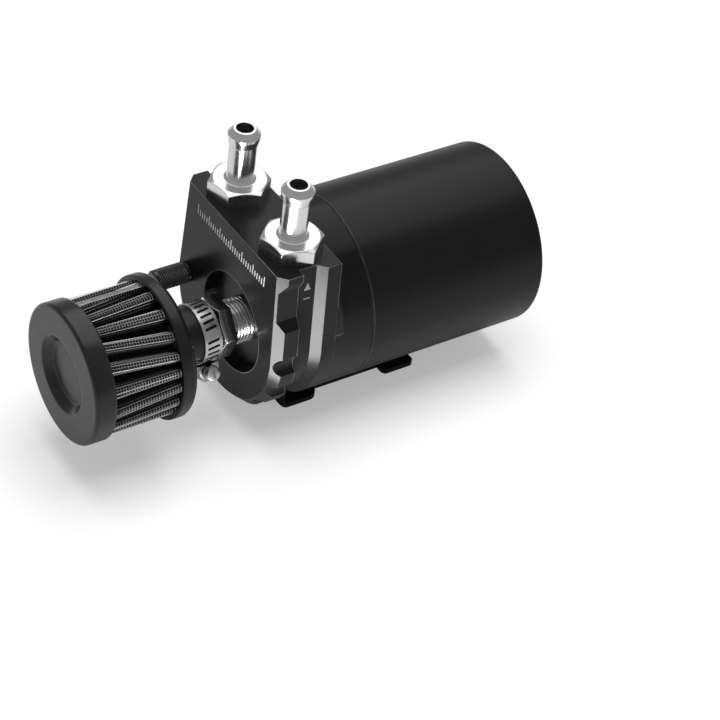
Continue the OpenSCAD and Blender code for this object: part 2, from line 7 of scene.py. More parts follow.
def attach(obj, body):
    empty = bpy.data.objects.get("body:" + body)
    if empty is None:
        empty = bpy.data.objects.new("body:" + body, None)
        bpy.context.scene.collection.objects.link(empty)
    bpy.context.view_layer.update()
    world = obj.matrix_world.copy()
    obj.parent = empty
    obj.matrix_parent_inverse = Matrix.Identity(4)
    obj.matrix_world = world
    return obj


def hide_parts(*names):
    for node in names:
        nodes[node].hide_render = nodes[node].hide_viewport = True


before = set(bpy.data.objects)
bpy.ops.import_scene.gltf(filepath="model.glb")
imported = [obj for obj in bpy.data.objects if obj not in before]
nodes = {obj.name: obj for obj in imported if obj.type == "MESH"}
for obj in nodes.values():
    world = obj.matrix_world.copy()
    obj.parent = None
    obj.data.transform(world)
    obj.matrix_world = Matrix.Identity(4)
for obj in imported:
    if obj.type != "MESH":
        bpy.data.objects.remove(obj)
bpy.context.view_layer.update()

MM = 0.001

# Lengths are in millimetres, most of them as in the part's source
MERGE = 0.002

# Head, and the bracket's outer side that the can lies on
FACE_Z = 117.05
GROOVE_X = 32.0
SIDE_TURN = math.radians(-3.507)
PORT_X = -5.0
RECESS_Z = 112.55
FLOOR_Y = 42.6

# Breather adaptor, its hexagon a twelfth of a turn on from the solid's
THREAD_LOW_Z = RECESS_Z - 2.2
HEX_Z = 120.55
HEX_H = 5.7
HEX_TOP_Z = HEX_Z + HEX_H
HEX_FLATS = 20
HEX_TURN = math.radians(39)
SPIGOT_LOW_Z = 104.2
SPIGOT_TOP_Z = 140.25
SPIGOT_R = 9
BORE_R = 6

# Filter: its sleeve lies between the top of the rear ring and the foot of the cap
RING_TOP_Z = 151.25
CAP_Z = 176.75
GAUZE_R = 24.6
PLEATS = 20
PLEAT_DEPTH = 4.2
PLEAT_TURN = math.radians(-2)
PLEAT_LEAN = math.radians(9)
LEAN_WAVES = 3
LEAN_START = 2.2
SEAM_PLEAT = 4

# Clamp: the slots are spread over the part of the band that the housing leaves free
BAND_MID_Z = 130.55
BAND_W = 7
BAND_R = 10.7
BAND_T = 0.6
SLOT_SIZE = (3, 1.05, 4.8)
SLOT_COUNT = 21
PLAIN_SLOT = 4
SLOT_START = math.radians(163)
SLOT_STEP = math.radians(12.4)
SLOT_SLANT = math.radians(8)
HOUSING_TURN = math.radians(115)
WORM_SET = 14.15
WORM_R = 2.3
WORM_CORE_R = 1.9
WORM_HEAD_LOW = 4.65
WORM_HEAD_R = 2.9
WORM_HEAD_TOP = 7.65

# Dipstick knob
KNOB_X = 26.3
KNOB_R = 4.2
KNOB_STUB_R = 3.35
KNOB_STUB_LEN = 6
KNURL_LOW_Z = FACE_Z + 1.2
KNURL_TOP_Z = FACE_Z + 13.2
KNOB_TOP_Z = FACE_Z + 14.5

# Scale on the face and marks beside the hose ports
FILL_T = 0.04
TICK_COUNT = 31
TICK_W = 0.45
LONG_TICK = 4.2
SHORT_TICK = 2.6
SCALE_LEN = 45
SCALE_Y = -29.2
MARK_Y = -28.06
MARK_Z = 104.0


def deselect_all():
    if bpy.context.object and bpy.context.object.mode != "OBJECT":
        bpy.ops.object.mode_set(mode="OBJECT")
    bpy.ops.object.select_all(action="DESELECT")


def only(piece):
    deselect_all()
    bpy.context.view_layer.objects.active = piece
    piece.select_set(True)


def add_circle(name, sides, radius):
    deselect_all()
    bpy.ops.mesh.primitive_circle_add(vertices=sides, radius=radius * MM, fill_type="NOTHING", location=(0, 0, 0))
    piece = bpy.context.object
    piece.name = name
    return piece


def add_cylinder(name, sides, radius, depth, centre):
    deselect_all()
    bpy.ops.mesh.primitive_cylinder_add(vertices=sides, radius=radius * MM, depth=depth * MM,
                                        location=[c * MM for c in centre])
    piece = bpy.context.object
    piece.name = name
    bpy.ops.object.transform_apply(location=True, rotation=True, scale=True)
    return piece


def add_block(name, size, centre):
    deselect_all()
    bpy.ops.mesh.primitive_cube_add(size=1, location=[c * MM for c in centre], scale=[s * MM for s in size])
    piece = bpy.context.object
    piece.name = name
    bpy.ops.object.transform_apply(location=True, rotation=True, scale=True)
    return piece


def apply_modifier(piece, kind, **settings):
    only(piece)
    modifier = piece.modifiers.new(kind.title(), kind)
    for key, value in settings.items():
        setattr(modifier, key, value)
    bpy.ops.object.modifier_apply(modifier=modifier.name)


def mend_normals(piece):
    only(piece)
    bpy.ops.object.mode_set(mode="EDIT")
    bpy.ops.mesh.select_all(action="SELECT")
    bpy.ops.mesh.remove_doubles(threshold=MERGE * MM)
    bpy.ops.mesh.normals_make_consistent(inside=False)
    bpy.ops.object.mode_set(mode="OBJECT")


def smooth(piece, angle=35):
    only(piece)
    bpy.ops.object.shade_smooth_by_angle(angle=math.radians(angle))


def join(first, others):
    only(first)
    for other in others:
        other.select_set(True)
    bpy.ops.object.join()
    return first


def finish_piece(piece, body, material, replaced=()):
    """Give a piece its finish and its body, and hide the CAD nodes that it stands for."""
    piece.data.materials.clear()
    piece.data.materials.append(material)
    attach(piece, body)
    if replaced:
        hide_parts(*replaced)
    return piece


def turned_profile(name, points, sides=96):
    """A closed profile of radius and height in millimetres, spun about the upright axis."""
    deselect_all()
    bpy.ops.mesh.primitive_plane_add(size=MM)
    piece = bpy.context.object
    piece.name = name
    bpy.ops.object.mode_set(mode="EDIT")
    bpy.ops.mesh.select_all(action="SELECT")
    bpy.ops.mesh.delete(type="VERT")
    bpy.ops.object.mode_set(mode="OBJECT")
    mesh = piece.data
    mesh.vertices.add(len(points))
    for vertex, (radius, height) in zip(mesh.vertices, points):
        vertex.co = (radius * MM, 0, height * MM)
    mesh.edges.add(len(points))
    for i, edge in enumerate(mesh.edges):
        edge.vertices = (i, (i + 1) % len(points))
    mesh.update()
    only(piece)
    bpy.ops.object.mode_set(mode="EDIT")
    bpy.ops.mesh.select_all(action="SELECT")
    bpy.ops.mesh.spin(steps=sides, angle=2 * math.pi, center=(0, 0, 0), axis=(0, 0, 1))
    bpy.ops.object.mode_set(mode="OBJECT")
    mend_normals(piece)
    return piece


def raise_rows(piece, rows, height):
    """Extrude an open ring upwards into a sleeve of equal rows."""
    only(piece)
    bpy.ops.object.mode_set(mode="EDIT")
    bpy.ops.mesh.select_all(action="SELECT")
    for _ in range(rows):
        bpy.ops.mesh.extrude_region_move(TRANSFORM_OT_translate={"value": (0, 0, height / rows * MM)})
    bpy.ops.object.mode_set(mode="OBJECT")


def turn_about_z(piece, angle):
    piece.data.transform(Matrix.Rotation(angle, 4, "Z"))


def shift(piece, x=0, y=0, z=0):
    piece.data.transform(Matrix.Translation((x * MM, y * MM, z * MM)))


# Materials

def new_material(name):
    material = bpy.data.materials.new(name)
    material.use_nodes = True
    tree = material.node_tree
    shader = tree.nodes["Principled BSDF"]
    place = tree.nodes.new("ShaderNodeTexCoord")
    return material, tree, shader, place.outputs["Object"]


def add_socket(group, name, direction, kind="NodeSocketFloat", default=None):
    socket = group.interface.new_socket(name=name, in_out=direction, socket_type=kind)
    if default is not None:
        socket.default_value = default
    return socket


def make_fine_grain():
    """Fine uneven grain: a mask of broad patches and a bump normal. Both sizes are in millimetres."""
    group = bpy.data.node_groups.new("fine_grain", "ShaderNodeTree")
    add_socket(group, "Place", "INPUT", "NodeSocketVector")
    add_socket(group, "Grain Size", "INPUT", default=0.2)
    add_socket(group, "Patch Size", "INPUT", default=12.0)
    add_socket(group, "Depth", "INPUT", default=0.1)
    add_socket(group, "Mask", "OUTPUT")
    add_socket(group, "Normal", "OUTPUT", "NodeSocketVector")
    tree = group.nodes
    link = group.links.new
    entry = tree.new("NodeGroupInput")
    leave = tree.new("NodeGroupOutput")
    fine_scale = tree.new("ShaderNodeMath")
    fine_scale.operation = "DIVIDE"
    fine_scale.inputs[0].default_value = 1 / MM
    link(entry.outputs["Grain Size"], fine_scale.inputs[1])
    broad_scale = tree.new("ShaderNodeMath")
    broad_scale.operation = "DIVIDE"
    broad_scale.inputs[0].default_value = 1 / MM
    link(entry.outputs["Patch Size"], broad_scale.inputs[1])
    fine = tree.new("ShaderNodeTexNoise")
    fine.inputs["Detail"].default_value = 3
    link(entry.outputs["Place"], fine.inputs["Vector"])
    link(fine_scale.outputs[0], fine.inputs["Scale"])
    broad = tree.new("ShaderNodeTexNoise")
    broad.inputs["Detail"].default_value = 4
    link(entry.outputs["Place"], broad.inputs["Vector"])
    link(broad_scale.outputs[0], broad.inputs["Scale"])
    bump = tree.new("ShaderNodeBump")
    bump.inputs["Distance"].default_value = 0.05 * MM
    link(entry.outputs["Depth"], bump.inputs["Strength"])
    link(fine.outputs["Fac"], bump.inputs["Height"])
    link(broad.outputs["Fac"], leave.inputs["Mask"])
    link(bump.outputs["Normal"], leave.inputs["Normal"])
    return group


def make_turned_lines():
    """Faint tool lines round a turned surface. Stretch is near 0 along the lines and 1 across them."""
    group = bpy.data.node_groups.new("turned_lines", "ShaderNodeTree")
    add_socket(group, "Place", "INPUT", "NodeSocketVector")
    add_socket(group, "Stretch", "INPUT", "NodeSocketVector", (0.0, 0.0, 1.0))
    add_socket(group, "Depth", "INPUT", default=0.1)
    add_socket(group, "Mask", "OUTPUT")
    add_socket(group, "Normal", "OUTPUT", "NodeSocketVector")
    tree = group.nodes
    link = group.links.new
    entry = tree.new("NodeGroupInput")
    leave = tree.new("NodeGroupOutput")
    squeeze = tree.new("ShaderNodeVectorMath")
    squeeze.operation = "MULTIPLY"
    link(entry.outputs["Place"], squeeze.inputs[0])
    link(entry.outputs["Stretch"], squeeze.inputs[1])
    lines = tree.new("ShaderNodeTexNoise")
    lines.inputs["Scale"].default_value = 2600
    lines.inputs["Detail"].default_value = 2
    link(squeeze.outputs[0], lines.inputs["Vector"])
    bump = tree.new("ShaderNodeBump")
    bump.inputs["Distance"].default_value = 0.03 * MM
    link(entry.outputs["Depth"], bump.inputs["Strength"])
    link(lines.outputs["Fac"], bump.inputs["Height"])
    link(lines.outputs["Fac"], leave.inputs["Mask"])
    link(bump.outputs["Normal"], leave.inputs["Normal"])
    return group


def make_edge_wear_and_highlight():
    """Mask of the sharp outer edges, broken up a little, where black anodising wears through to the metal and where a
    painted highlight stands in for the glint of light along them.
    """
    group = bpy.data.node_groups.new("edge_wear_and_highlight", "ShaderNodeTree")
    add_socket(group, "Place", "INPUT", "NodeSocketVector")
    add_socket(group, "Reach", "INPUT", default=0.4 * MM)
    add_socket(group, "Start", "INPUT", default=0.78)
    add_socket(group, "Mask", "OUTPUT")
    tree = group.nodes
    link = group.links.new
    entry = tree.new("NodeGroupInput")
    leave = tree.new("NodeGroupOutput")
    # Painted highlight and wear: the edges found here get a lighter colour, partly worn metal and partly the glint of
    # light along them.
    thin = tree.new("ShaderNodeAmbientOcclusion")
    thin.samples = 16
    thin.inside = True
    thin.only_local = True
    link(entry.outputs["Reach"], thin.inputs["Distance"])
    edge = tree.new("ShaderNodeMapRange")
    edge.interpolation_type = "SMOOTHSTEP"
    full = tree.new("ShaderNodeMath")
    full.operation = "SUBTRACT"
    full.inputs[1].default_value = 0.2
    link(entry.outputs["Start"], full.inputs[0])
    link(entry.outputs["Start"], edge.inputs["From Min"])
    link(full.outputs[0], edge.inputs["From Max"])
    link(thin.outputs["AO"], edge.inputs["Value"])
    patches = tree.new("ShaderNodeTexNoise")
    patches.inputs["Scale"].default_value = 90
    patches.inputs["Detail"].default_value = 3
    link(entry.outputs["Place"], patches.inputs["Vector"])
    broken = tree.new("ShaderNodeMapRange")
    broken.inputs["From Min"].default_value = 0.3
    broken.inputs["From Max"].default_value = 0.6
    broken.inputs["To Min"].default_value = 0.35
    link(patches.outputs["Fac"], broken.inputs["Value"])
    both = tree.new("ShaderNodeMath")
    both.operation = "MULTIPLY"
    link(edge.outputs["Result"], both.inputs[0])
    link(broken.outputs["Result"], both.inputs[1])
    link(both.outputs[0], leave.inputs["Mask"])
    return group


FINE_GRAIN = make_fine_grain()
EDGE_WEAR_AND_HIGHLIGHT = make_edge_wear_and_highlight()
TURNED_LINES = make_turned_lines()


def place_group(tree, group, place, **values):
    node = tree.nodes.new("ShaderNodeGroup")
    node.node_tree = group
    for key, value in values.items():
        node.inputs[key.replace("_", " ").title()].default_value = value
    tree.links.new(place, node.inputs["Place"])
    return node


def ramp_between(tree, mask, low, high, start=0.35, end=0.65):
    ramp = tree.nodes.new("ShaderNodeValToRGB")
    ramp.color_ramp.elements[0].position = start
    ramp.color_ramp.elements[0].color = low
    ramp.color_ramp.elements[1].position = end
    ramp.color_ramp.elements[1].color = high
    tree.links.new(mask, ramp.inputs["Fac"])
    return ramp.outputs["Color"]


def range_between(tree, mask, low, high, start=0.3, end=0.7):
    stretch = tree.nodes.new("ShaderNodeMapRange")
    stretch.inputs["From Min"].default_value = start
    stretch.inputs["From Max"].default_value = end
    stretch.inputs["To Min"].default_value = low
    stretch.inputs["To Max"].default_value = high
    tree.links.new(mask, stretch.inputs["Value"])
    return stretch.outputs["Result"]


def soften_edges(tree, normal, shader, radius, samples=6):
    """Round the shading over sharp edges by a radius in millimetres."""
    soft = tree.nodes.new("ShaderNodeBevel")
    soft.samples = samples
    soft.inputs["Radius"].default_value = radius * MM
    tree.links.new(normal, soft.inputs["Normal"])
    tree.links.new(soft.outputs["Normal"], shader.inputs["Normal"])


def grey(value, blue=1.0):
    return (value, value, value * blue, 1)


def black_anodised(name, roughness, tone=0.008, edge=0.25, depth=0.18, sheen=0.3, bare_and_highlight=0.02, start=0.78):
    """Bead-blasted black anodised aluminium, softened along its edges, which are painted lighter: partly as worn
    metal, partly as a painted highlight.
    """
    material, tree, shader, place = new_material(name)
    grain = place_group(tree, FINE_GRAIN, place, grain_size=0.16, patch_size=22.0, depth=depth)
    black = ramp_between(tree, grain.outputs["Mask"], grey(tone * 0.85, 1.06), grey(tone * 1.2, 1.06))
    # Painted highlight: the edges are coloured lighter, partly as worn metal and partly in place of the glint that
    # light gives them.
    wear_and_highlight = place_group(tree, EDGE_WEAR_AND_HIGHLIGHT, place, reach=0.5 * MM, start=start)
    rim = tree.nodes.new("ShaderNodeMix")
    rim.data_type = "RGBA"
    rim.inputs["B"].default_value = grey(bare_and_highlight)
    tree.links.new(wear_and_highlight.outputs["Mask"], rim.inputs["Factor"])
    tree.links.new(black, rim.inputs["A"])
    tree.links.new(rim.outputs["Result"], shader.inputs["Base Color"])
    tree.links.new(range_between(tree, grain.outputs["Mask"], roughness - 0.025, roughness + 0.03),
                   shader.inputs["Roughness"])
    soften_edges(tree, grain.outputs["Normal"], shader, edge)
    shader.inputs["Specular IOR Level"].default_value = sheen
    return material


def turned_aluminium(name, stretch, roughness=0.2, tone=0.86):
    """Smooth turned and clear anodised aluminium."""
    material, tree, shader, place = new_material(name)
    lines = place_group(tree, TURNED_LINES, place, stretch=stretch, depth=0.2)
    grain = place_group(tree, FINE_GRAIN, place, grain_size=0.3, patch_size=6.0, depth=0.0)
    tree.links.new(ramp_between(tree, grain.outputs["Mask"], grey(tone * 0.94, 1.01), grey(tone, 1.01)),
                   shader.inputs["Base Color"])
    tree.links.new(range_between(tree, lines.outputs["Mask"], roughness - 0.04, roughness + 0.06),
                   shader.inputs["Roughness"])
    soften_edges(tree, lines.outputs["Normal"], shader, 0.3)
    shader.inputs["Metallic"].default_value = 1
    return material


def plated_steel(name, tone=0.62, roughness=0.24):
    """Bright zinc-plated steel, a little cloudy."""
    material, tree, shader, place = new_material(name)
    grain = place_group(tree, FINE_GRAIN, place, grain_size=0.12, patch_size=2.5, depth=0.12)
    tree.links.new(ramp_between(tree, grain.outputs["Mask"], grey(tone * 0.86, 1.02), grey(tone * 1.06, 1.0)),
                   shader.inputs["Base Color"])
    tree.links.new(range_between(tree, grain.outputs["Mask"], roughness - 0.05, roughness + 0.08),
                   shader.inputs["Roughness"])
    tree.links.new(grain.outputs["Normal"], shader.inputs["Normal"])
    shader.inputs["Metallic"].default_value = 1
    return material


def moulded_rubber(name, tone=0.012, roughness=0.32, edge=0.2, sheen=0.4):
    """Matt black rubber with soft edges and a faint bloom."""
    material, tree, shader, place = new_material(name)
    grain = place_group(tree, FINE_GRAIN, place, grain_size=0.35, patch_size=9.0, depth=0.22)
    tree.links.new(ramp_between(tree, grain.outputs["Mask"], grey(tone * 0.8, 1.03), grey(tone * 1.35, 1.03)),
                   shader.inputs["Base Color"])
    tree.links.new(range_between(tree, grain.outputs["Mask"], roughness - 0.04, roughness + 0.06),
                   shader.inputs["Roughness"])
    soften_edges(tree, grain.outputs["Normal"], shader, edge, samples=8)
    shader.inputs["Specular IOR Level"].default_value = sheen
    return material


def filter_cloth(name):
    """Dark oiled cotton behind the wire."""
    material, tree, shader, place = new_material(name)
    weave = tree.nodes.new("ShaderNodeTexVoronoi")
    weave.inputs["Scale"].default_value = 2200
    tree.links.new(place, weave.inputs["Vector"])
    tree.links.new(ramp_between(tree, weave.outputs["Distance"], grey(0.022), grey(0.008), 0.1, 0.7),
                   shader.inputs["Base Color"])
    bump = tree.nodes.new("ShaderNodeBump")
    bump.inputs["Distance"].default_value = 0.1 * MM
    bump.inputs["Strength"].default_value = 0.5
    tree.links.new(weave.outputs["Distance"], bump.inputs["Height"])
    tree.links.new(bump.outputs["Normal"], shader.inputs["Normal"])
    shader.inputs["Roughness"].default_value = 0.9
    return material


def gauze_wire(name):
    """Wire on the pleats, bright on their ridges and darkened down in the folds as painted shade."""
    material, tree, shader, place = new_material(name)
    from_axis = tree.nodes.new("ShaderNodeVectorMath")
    from_axis.operation = "SUBTRACT"
    from_axis.inputs[1].default_value = (PORT_X * MM, 0, 0)
    tree.links.new(place, from_axis.inputs[0])
    flatten = tree.nodes.new("ShaderNodeVectorMath")
    flatten.operation = "MULTIPLY"
    flatten.inputs[1].default_value = (1, 1, 0)
    tree.links.new(from_axis.outputs[0], flatten.inputs[0])
    distance = tree.nodes.new("ShaderNodeVectorMath")
    distance.operation = "LENGTH"
    tree.links.new(flatten.outputs[0], distance.inputs[0])
    # Painted shade: the wire's colour runs from dark in the folds of the pleats to bright on their ridges.
    ridge = range_between(tree, distance.outputs["Value"], 0.0, 1.0, (GAUZE_R - 2.6) * MM, (GAUZE_R - 0.4) * MM)
    tree.links.new(ramp_between(tree, ridge, grey(0.05), grey(0.62), 0.1, 0.9), shader.inputs["Base Color"])
    grain = place_group(tree, FINE_GRAIN, place, grain_size=0.3, patch_size=3.0, depth=0.1)
    tree.links.new(range_between(tree, grain.outputs["Mask"], 0.25, 0.45), shader.inputs["Roughness"])
    shader.inputs["Metallic"].default_value = 1
    return material


def mark_paint(name):
    """Pale engraved fill of the scale and the port marks."""
    material, tree, shader, place = new_material(name)
    grain = place_group(tree, FINE_GRAIN, place, grain_size=0.1, patch_size=1.2, depth=0.2)
    tree.links.new(ramp_between(tree, grain.outputs["Mask"], grey(0.5), grey(0.72)), shader.inputs["Base Color"])
    tree.links.new(grain.outputs["Normal"], shader.inputs["Normal"])
    shader.inputs["Roughness"].default_value = 0.6
    return material


HEAD_BLACK = black_anodised("head_black_anodised", 0.25, sheen=0.18, depth=0.04, bare_and_highlight=0.22)
CAN_BLACK = black_anodised("can_black_anodised", 0.36, sheen=0.24, depth=0.08, bare_and_highlight=0.45, start=0.95)
KNOB_BLACK = black_anodised("knob_black_anodised", 0.25, edge=0.05, sheen=0.9)
BRACKET_BLACK = black_anodised("bracket_black_coat", 0.26, depth=0.3)
HOSE_ALUMINIUM = turned_aluminium("hose_fitting_aluminium", (0.02, 1.0, 0.02))
ADAPTOR_ALUMINIUM = turned_aluminium("adaptor_aluminium", (0.02, 0.02, 1.0))
BAFFLE_ALUMINIUM = turned_aluminium("baffle_aluminium", (1.0, 0.02, 0.02), roughness=0.3)
CLAMP_STEEL = plated_steel("clamp_steel")
SCREW_STEEL = plated_steel("screw_steel", tone=0.55, roughness=0.28)
ROD_STEEL = plated_steel("rod_steel", tone=0.6, roughness=0.2)
WIRE_STEEL = gauze_wire("gauze_wire")
FILTER_RUBBER = moulded_rubber("filter_rubber", tone=0.008)
CAP_RUBBER = moulded_rubber("cap_moulding", tone=0.014, roughness=0.24, edge=1.2, sheen=0.45)
SEAL_RUBBER = moulded_rubber("seal_rubber", tone=0.012, roughness=0.4)
FILTER_CLOTH = filter_cloth("pleated_cloth")
MARK_PAINT = mark_paint("mark_fill")


def dress_nodes():
    finishes = {
        "head": HEAD_BLACK, "reservoir": CAN_BLACK, "reservoir_seal": SEAL_RUBBER,
        "baffle_plate": BAFFLE_ALUMINIUM, "baffle_screws": SCREW_STEEL, "dipstick_knob": KNOB_BLACK,
        "dipstick_rod": ROD_STEEL, "dipstick_seal": SEAL_RUBBER, "inlet_fitting": HOSE_ALUMINIUM,
        "outlet_fitting": HOSE_ALUMINIUM, "inlet_seal": SEAL_RUBBER, "outlet_seal": SEAL_RUBBER,
        "breather_adaptor": ADAPTOR_ALUMINIUM, "filter_base": FILTER_RUBBER, "filter_core": SCREW_STEEL,
        "filter_gauze": FILTER_CLOTH, "filter_cap": CAP_RUBBER, "clamp_band": CLAMP_STEEL,
        "clamp_housing": CLAMP_STEEL, "clamp_screw": SCREW_STEEL, "bracket": BRACKET_BLACK,
        "bracket_screws": SCREW_STEEL,
    }
    for name, material in finishes.items():
        mesh = nodes[name].data
        mesh.materials.clear()
        mesh.materials.append(material)


# Pieces

def pleat_point(turn, inset=0.0):
    """Radius of the pleated outline at a part of a full turn: a flat ridge, an S-shaped flank and a flat fold."""
    ridge, foot = 0.17, 0.36
    step = (turn * PLEATS) % 1.0
    if step > 0.5:
        step = 1.0 - step
    if step <= ridge:
        drop = 0.0
    elif step >= foot:
        drop = 1.0
    else:
        drop = (step - ridge) / (foot - ridge)
        drop = drop * drop * (3 - 2 * drop)
    return GAUZE_R - PLEAT_DEPTH * drop - inset


def pleated_sleeve(name, around, rows, inset, low=RING_TOP_Z - 1, high=CAP_Z + 1):
    """An open sleeve with the pleats' outline, its columns spaced evenly along it. The pleats lean by turns."""
    piece = add_circle(name, around, GAUZE_R)
    raise_rows(piece, rows, high - low)
    samples = 4000
    outline = []
    for i in range(samples + 1):
        angle = 2 * math.pi * i / samples
        radius = pleat_point(i / samples, inset)
        outline.append((radius * math.cos(angle), radius * math.sin(angle)))
    lengths = [0.0]
    for a, b in zip(outline, outline[1:]):
        lengths.append(lengths[-1] + math.dist(a, b))
    spots = []
    k = 0
    for i in range(around):
        wanted = lengths[-1] * i / around
        while lengths[k + 1] < wanted:
            k += 1
        part = (wanted - lengths[k]) / (lengths[k + 1] - lengths[k])
        spots.append([outline[k][0] + part * (outline[k + 1][0] - outline[k][0]),
                      outline[k][1] + part * (outline[k + 1][1] - outline[k][1])])
    for vertex in piece.data.vertices:
        turn = math.atan2(vertex.co.y, vertex.co.x) / (2 * math.pi) % 1.0
        spot = spots[round(turn * around) % around]
        along = vertex.co.z / ((high - low) * MM) - 0.5
        lean = Matrix.Rotation(PLEAT_LEAN * along * math.sin(2 * math.pi * LEAN_WAVES * turn + LEAN_START), 2)
        vertex.co.xy = lean @ Vector(spot) * MM
        vertex.co.z += low * MM
    turn_about_z(piece, PLEAT_TURN)
    shift(piece, PORT_X)
    return piece


def make_gauze():
    """Pleated cloth, the wire mesh that lies on it and the strip that joins the mesh."""
    cloth = pleated_sleeve("pleated_cloth", around=480, rows=4, inset=0.75)
    apply_modifier(cloth, "SOLIDIFY", thickness=0.3 * MM, offset=0)
    mend_normals(cloth)
    smooth(cloth, 50)
    finish_piece(cloth, "head", FILTER_CLOTH, ("filter_gauze",))
    wire = pleated_sleeve("wire_mesh", around=240, rows=26, inset=0.24)
    apply_modifier(wire, "WIREFRAME", thickness=0.4 * MM, use_replace=True, use_even_offset=False)
    smooth(wire, 50)
    finish_piece(wire, "head", WIRE_STEEL)
    seam = add_block("gauze_seam", (0.25, 2.9, CAP_Z - RING_TOP_Z + 1.6),
                     (GAUZE_R - 0.1, 0, (CAP_Z + RING_TOP_Z) / 2))
    apply_modifier(seam, "BEVEL", width=0.1 * MM, segments=2)
    turn_about_z(seam, PLEAT_TURN - SEAM_PLEAT * 2 * math.pi / PLEATS)
    shift(seam, PORT_X)
    finish_piece(seam, "head", CLAMP_STEEL)


def make_knurl(radius, low, high, depth=0.3, around=44, rows=20):
    """Sleeve of diamond pyramids.

    Every second corner of a grid is low, and each square is split between its low corners.
    """
    sleeve = add_circle("knurl", around, radius)
    raise_rows(sleeve, rows, high - low)
    for vertex in sleeve.data.vertices:
        column = round(math.atan2(vertex.co.y, vertex.co.x) / (2 * math.pi) * around)
        row = round(vertex.co.z / ((high - low) * MM) * rows)
        if (column + row) % 2 == 0 or row in (0, rows):
            vertex.co.xy = vertex.co.xy * (radius - depth) / radius
        vertex.co.z += low * MM
    only(sleeve)
    bpy.ops.object.mode_set(mode="EDIT")
    bpy.ops.mesh.select_all(action="SELECT")
    bpy.ops.mesh.quads_convert_to_tris(quad_method="SHORTEST_DIAGONAL")
    bpy.ops.mesh.normals_make_consistent(inside=False)
    bpy.ops.object.mode_set(mode="OBJECT")
    return sleeve


def make_knob():
    """Dipstick knob: its stub in the head, and a knurl between two plain collars."""
    axis_r, core_r = 0.3, KNOB_R - 0.4
    low_collar_r, top_collar_r = KNOB_R - 0.3, KNOB_R - 0.15
    knob = turned_profile("knurled_knob", [
        (axis_r, FACE_Z - KNOB_STUB_LEN), (KNOB_STUB_R, FACE_Z - KNOB_STUB_LEN), (KNOB_STUB_R, FACE_Z),
        (low_collar_r - 0.2, FACE_Z), (low_collar_r, FACE_Z + 0.3), (low_collar_r, FACE_Z + 0.8),
        (core_r, KNURL_LOW_Z), (core_r, KNURL_TOP_Z),
        (top_collar_r, KNURL_TOP_Z + 0.2), (top_collar_r, KNURL_TOP_Z + 0.8),
        (KNOB_R - 0.8, KNOB_TOP_Z), (axis_r, KNOB_TOP_Z)], sides=72)
    knob = join(knob, [make_knurl(KNOB_R - 0.02, KNURL_LOW_Z, KNURL_TOP_Z)])
    shift(knob, KNOB_X)
    smooth(knob, 15)
    return finish_piece(knob, "dipstick", KNOB_BLACK, ("dipstick_knob",))


def threaded_rod(name, radius, depth, pitch, length, core_r, sides=48):
    """A screw thread round a core, standing on the origin and open at both ends.

    Root and crest say where on the pitch the flank begins and ends.
    """
    root, crest = 0.06, 0.42
    thread = add_circle(name, 3, 1)
    thread.data.clear_geometry()
    profile = [(core_r, 0), (radius - depth, root * pitch), (radius, crest * pitch), (radius, (1 - crest) * pitch),
               (radius - depth, (1 - root) * pitch), (core_r, pitch)]
    thread.data.vertices.add(len(profile))
    for vertex, (r, z) in zip(thread.data.vertices, profile):
        vertex.co = (r * MM, 0, z * MM)
    thread.data.edges.add(len(profile) - 1)
    for i, edge in enumerate(thread.data.edges):
        edge.vertices = (i, i + 1)
    thread.data.update()
    turns = int(length / pitch) - 1
    apply_modifier(thread, "SCREW", angle=2 * math.pi, screw_offset=pitch * MM, iterations=turns, steps=sides,
                   render_steps=sides, axis="Z", use_merge_vertices=True, merge_threshold=MERGE * MM)
    mend_normals(thread)
    return thread


def make_adaptor():
    """Breather adaptor: exposed thread, chamfered hexagon and the spigot that holds the filter."""
    hexagon = add_cylinder("breather_adaptor_turned", 6, HEX_FLATS / math.sqrt(3), HEX_H, (0, 0, HEX_Z + HEX_H / 2))
    turn_about_z(hexagon, HEX_TURN)
    apply_modifier(hexagon, "BEVEL", width=0.3 * MM, segments=2, limit_method="ANGLE")
    cone = turned_profile("hexagon_cone", [
        (0, HEX_Z - 1), (13, HEX_Z - 1), (13, HEX_TOP_Z - 1.8), (9.6, HEX_TOP_Z), (0, HEX_TOP_Z)])
    apply_modifier(hexagon, "BOOLEAN", object=cone, operation="INTERSECT", solver="EXACT")
    bpy.data.objects.remove(cone)
    neck_r, collar_r = 7.45, 8.6
    spigot = turned_profile("adaptor_spigot", [
        (BORE_R, SPIGOT_LOW_Z), (neck_r - 0.15, SPIGOT_LOW_Z), (neck_r, SPIGOT_LOW_Z + 0.8), (neck_r, HEX_Z + 0.4),
        (collar_r, HEX_Z + 0.4), (collar_r, HEX_TOP_Z - 0.45), (SPIGOT_R, HEX_TOP_Z + 0.05),
        (SPIGOT_R, SPIGOT_TOP_Z - 0.65), (SPIGOT_R - 0.6, SPIGOT_TOP_Z), (BORE_R, SPIGOT_TOP_Z)])
    thread = threaded_rod("adaptor_thread", radius=8.34, depth=0.85, pitch=1.4, length=HEX_Z + 1.2 - THREAD_LOW_Z,
                          core_r=7.0)
    shift(thread, z=THREAD_LOW_Z)
    hexagon = join(hexagon, [spigot, thread])
    shift(hexagon, PORT_X)
    smooth(hexagon, 30)
    return finish_piece(hexagon, "head", ADAPTOR_ALUMINIUM, ("breather_adaptor",))


